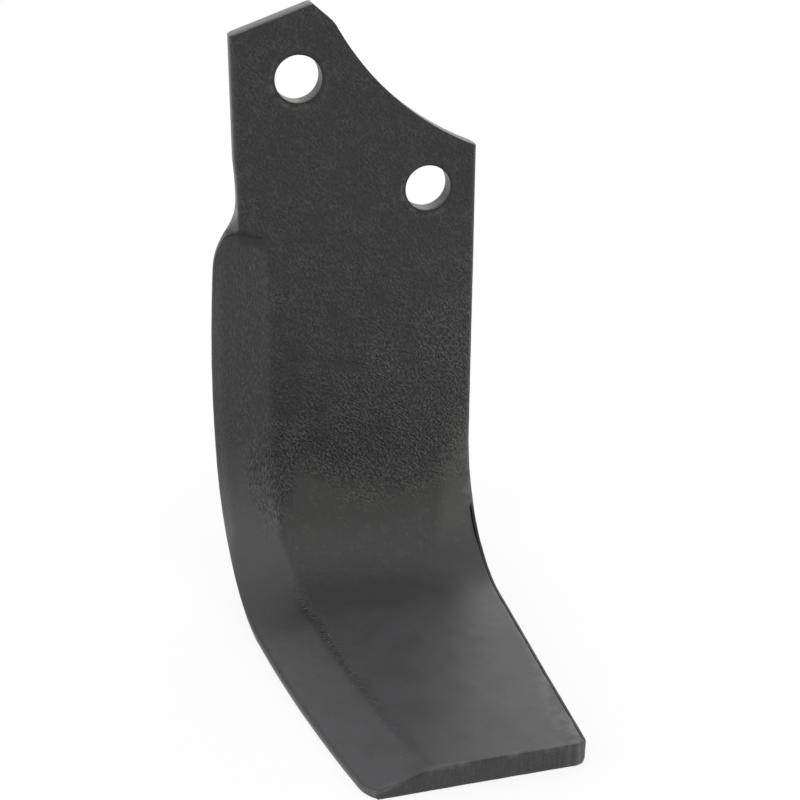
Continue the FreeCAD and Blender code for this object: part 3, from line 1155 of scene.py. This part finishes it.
def black_steel():
    """Thin black coating on forged steel: mottled, pitted, drawn on the bevel, thin at edges, with
    painted shade and painted highlights in its colour.
    """
    material = bpy.data.materials.new("black_coated_steel")
    material.use_nodes = True
    n = Nodes(material)
    blank = n.add("ShaderNodeAttribute", attribute_name="blank").outputs["Vector"]
    body = n.add("ShaderNodeTexCoord").outputs["Object"]
    mottle = n.noise(body, mottle_size, 5.0)
    lumps = n.noise(blank, lump_size, 3.0, 0.6)
    stipple = n.noise(body, stipple_size, 3.0, 0.6)
    grain = n.noise(n.stretched(blank, grain_length), grain_size, 2.0, 0.6)
    across = n.noise(n.stretched(blank, across_length), across_size, 2.0, 0.6)
    specks = n.noise(body, speck_size, 2.0, 0.7)
    wing = n.share("wing")
    rolled = n.math("SUBTRACT", 1.0, wing)
    pits = scale_pits(n, blank, lumps)

    coat = shank_coat(n, blank, mottle, lumps, pits, rolled)
    coat = n.over(coat, wing_coat(n, blank), wing)
    coat = marks(n, coat, grain, specks, across)
    coat = edges(n, coat, blank, stipple)
    shader = n.add("ShaderNodeBsdfPrincipled")
    shader.inputs["Metallic"].default_value = 0.0
    shader.inputs["Specular IOR Level"].default_value = 0.5
    n.link(coat, shader.inputs["Base Color"])
    matt = n.product(n.math("MAXIMUM", n.share("lip"), n.share("fold")), 0.5)
    rough = n.total(n.product(mottle, 0.14), 0.32, matt)
    n.link(n.math("MINIMUM", rough, 0.95), shader.inputs["Roughness"])

    fine = n.total(n.product(stipple, 0.5), n.product(specks, 0.2))
    height = n.total(n.product(fine, n.total(n.product(rolled, 0.8), 0.2)),
                     n.product(pits, n.share("scale"), 3.0),
                     n.product(grain, n.share("grain")),
                     n.product(across, n.share("ridge"), -2.0),
                     n.product(stipple, n.share("cut"), 1.5))
    bump = n.add("ShaderNodeBump", Strength=1.0, Distance=bump_depth)
    n.link(height, bump.inputs["Height"])
    n.link(bump.outputs["Normal"], shader.inputs["Normal"])
    output = n.add("ShaderNodeOutputMaterial")
    n.link(shader.outputs["BSDF"], output.inputs["Surface"])
    return material


blade.data.materials.append(black_steel())
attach(blade, "root")
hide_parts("blade")


def seen(n):
    """1 for rays that show the background, straight or in a reflection."""
    path = n.add("ShaderNodeLightPath")
    return n.math("MAXIMUM", path.outputs["Is Camera Ray"],
                  n.math("MAXIMUM", path.outputs["Is Glossy Ray"], path.outputs["Is Transmission Ray"]))


# Pale floor under the wing, which keeps a faint shadow
floor_size = 6.0
floor_gap = 0.0002
floor_glow = 0.86
floor_white = (0.95, 0.95, 0.95, 1)


def make_floor():
    """Wide plane that the wing's underside rests on."""
    half = floor_size / 2
    z = cad_box[0].z - floor_gap
    mesh = bpy.data.meshes.new("floor")
    mesh.from_pydata([(-half, -half, z), (half, -half, z), (half, half, z), (-half, half, z)],
                     [], [(0, 1, 2, 3)])
    floor = bpy.data.objects.new("floor", mesh)
    bpy.context.collection.objects.link(floor)
    material = bpy.data.materials.new("pale_floor")
    material.use_nodes = True
    n = Nodes(material)
    matt = n.add("ShaderNodeBsdfDiffuse")
    matt.inputs["Color"].default_value = floor_white
    glow = n.add("ShaderNodeEmission", Strength=1.0)
    mix = n.add("ShaderNodeMixShader")
    n.link(n.math("MULTIPLY", seen(n), floor_glow), mix.inputs[0])
    n.link(matt.outputs[0], mix.inputs[1])
    n.link(glow.outputs[0], mix.inputs[2])
    output = n.add("ShaderNodeOutputMaterial")
    n.link(mix.outputs[0], output.inputs["Surface"])
    floor.data.materials.append(material)


def make_world():
    """Even soft light, and a white background where it is seen."""
    world = bpy.data.worlds.new("studio")
    bpy.context.scene.world = world
    world.use_nodes = True
    n = Nodes(world)
    around = n.add("ShaderNodeBackground", Strength=1.0)
    backdrop = n.add("ShaderNodeBackground", Strength=1.0)
    mix = n.add("ShaderNodeMixShader")
    n.link(seen(n), mix.inputs[0])
    n.link(around.outputs[0], mix.inputs[1])
    n.link(backdrop.outputs[0], mix.inputs[2])
    output = n.add("ShaderNodeOutputWorld")
    n.link(mix.outputs[0], output.inputs["Surface"])


# Lamps: name, place, size and power; each faces the middle of the blade
lamp_target = Vector((0.0, -0.04, -0.06))
lamps = [("overhead", (0.10, -0.10, 1.4), 1.6, 5.0),
         ("left_side", (-1.2, -0.10, 0.35), 1.0, 2.5),
         ("back_right", (0.55, 1.1, 0.45), 0.9, 2.0)]


def make_lights():
    """Square soft lamps: a large one overhead, one on the left and one behind on the right."""
    for name, place, size, power in lamps:
        lamp = bpy.data.lights.new(name, "AREA")
        lamp.size = size
        lamp.energy = power
        holder = bpy.data.objects.new(name, lamp)
        holder.location = place
        facing = lamp_target - Vector(place)
        holder.rotation_mode = "QUATERNION"
        holder.rotation_quaternion = facing.to_track_quat("-Z", "Y")
        bpy.context.collection.objects.link(holder)


# Camera that stands where the photograph was taken from
camera_place = (-0.1116, -0.4985, 0.1349)
camera_tilt = 90 - 24.358
camera_heading = -14.123
camera_roll = 0.270
camera_lens = 72.30
camera_sensor = 36.0
camera_near = 0.01


def make_camera():
    """Camera from its place, heading, tilt and roll."""
    data = bpy.data.cameras.new("camera")
    data.lens = camera_lens
    data.sensor_width = camera_sensor
    data.clip_start = camera_near
    camera = bpy.data.objects.new("camera", data)
    turn = (Matrix.Rotation(radians(camera_heading), 4, "Z")
            @ Matrix.Rotation(radians(camera_tilt), 4, "X")
            @ Matrix.Rotation(radians(camera_roll), 4, "Z"))
    camera.matrix_world = Matrix.Translation(camera_place) @ turn
    bpy.context.collection.objects.link(camera)
    bpy.context.scene.camera = camera


make_floor()
make_world()
make_lights()
make_camera()
bpy.context.scene.view_settings.view_transform = "Standard"
